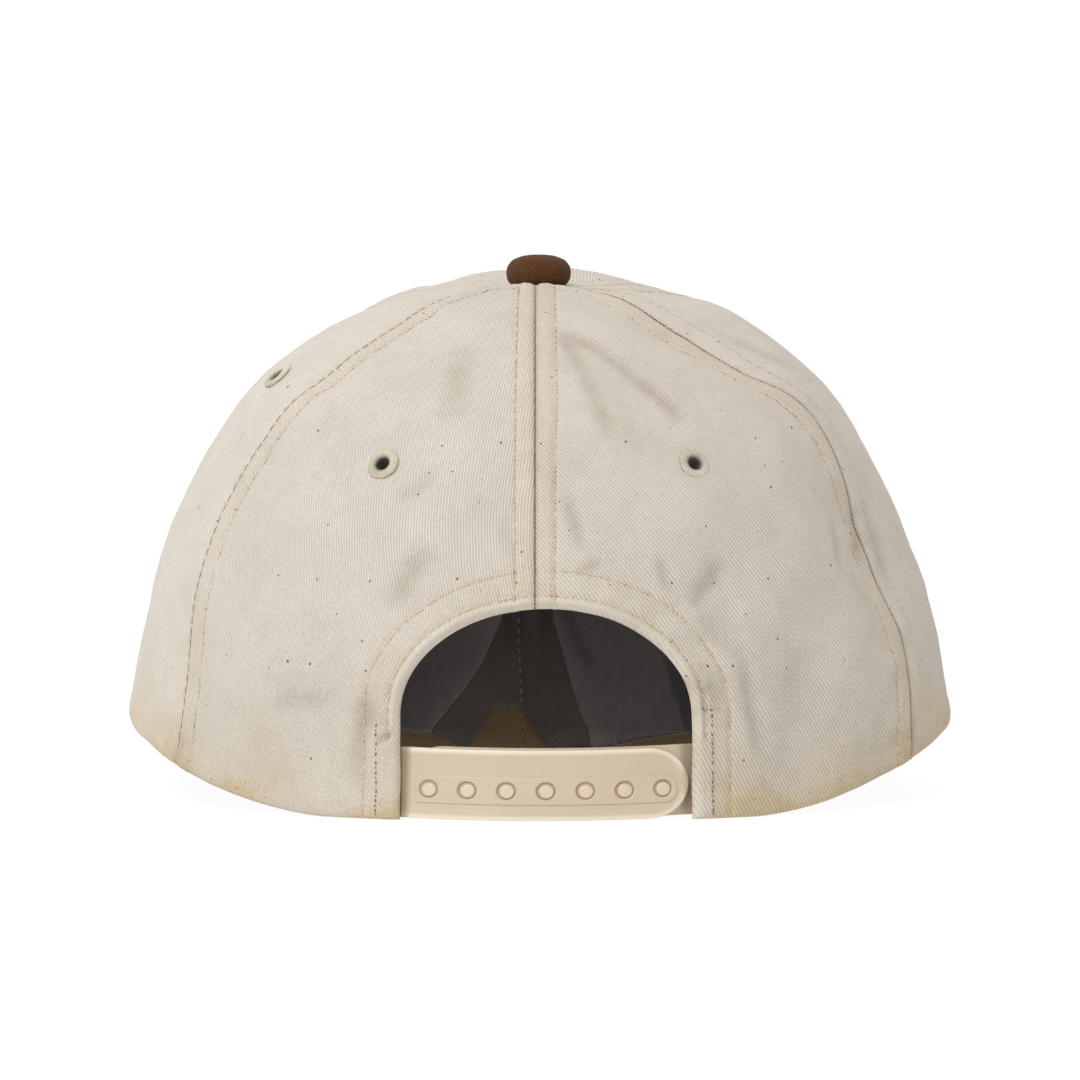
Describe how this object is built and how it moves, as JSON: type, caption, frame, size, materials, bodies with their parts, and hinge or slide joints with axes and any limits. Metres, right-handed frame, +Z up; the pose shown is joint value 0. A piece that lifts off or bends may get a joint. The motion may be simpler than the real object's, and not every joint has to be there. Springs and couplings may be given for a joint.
{
  "type": "snapback cap",
  "caption": "Cotton twill cap with a panelled crown, covered button, flat peak and arched back opening closed by a plastic snap strap.",
  "frame": {"origin": "the middle of the plan, on the surface that the cap rests on", "axes": "+Z up to the button, +Y towards the back with the snap strap, -Y along the peak, +X to the wearer's left"},
  "size_m": [0.1882, 0.2622, 0.1214],
  "materials": {
    "natural_twill": "matt unbleached cotton twill with small dark flecks",
    "brown_twill": "matt brown cotton twill",
    "band_twill": "matt dark olive-brown cotton twill",
    "charcoal_lining": "fine charcoal lining cloth",
    "dark_lining": "dark brown lining cloth",
    "strap_plastic": "satin moulded plastic",
    "eyelet_thread": "pale embroidery thread"
  },
  "bodies": {
    "root": {"back_panel_left": "natural_twill", "back_panel_right": "natural_twill", "side_panel_left": "natural_twill", "side_panel_right": "natural_twill", "front_panel_left": "natural_twill", "front_panel_right": "natural_twill", "button": "brown_twill", "peak": "brown_twill", "inner_band": "band_twill", "lining_left": "charcoal_lining", "lining_centre": "dark_lining", "lining_right": "charcoal_lining", "strap_with_holes": "strap_plastic", "strap_with_pegs": "strap_plastic", "eyelet_back_left": "eyelet_thread", "eyelet_back_right": "eyelet_thread", "eyelet_side_left": "eyelet_thread", "eyelet_side_right": "eyelet_thread", "eyelet_front_left": "eyelet_thread", "eyelet_front_right": "eyelet_thread"}
  },
  "joints": []
}
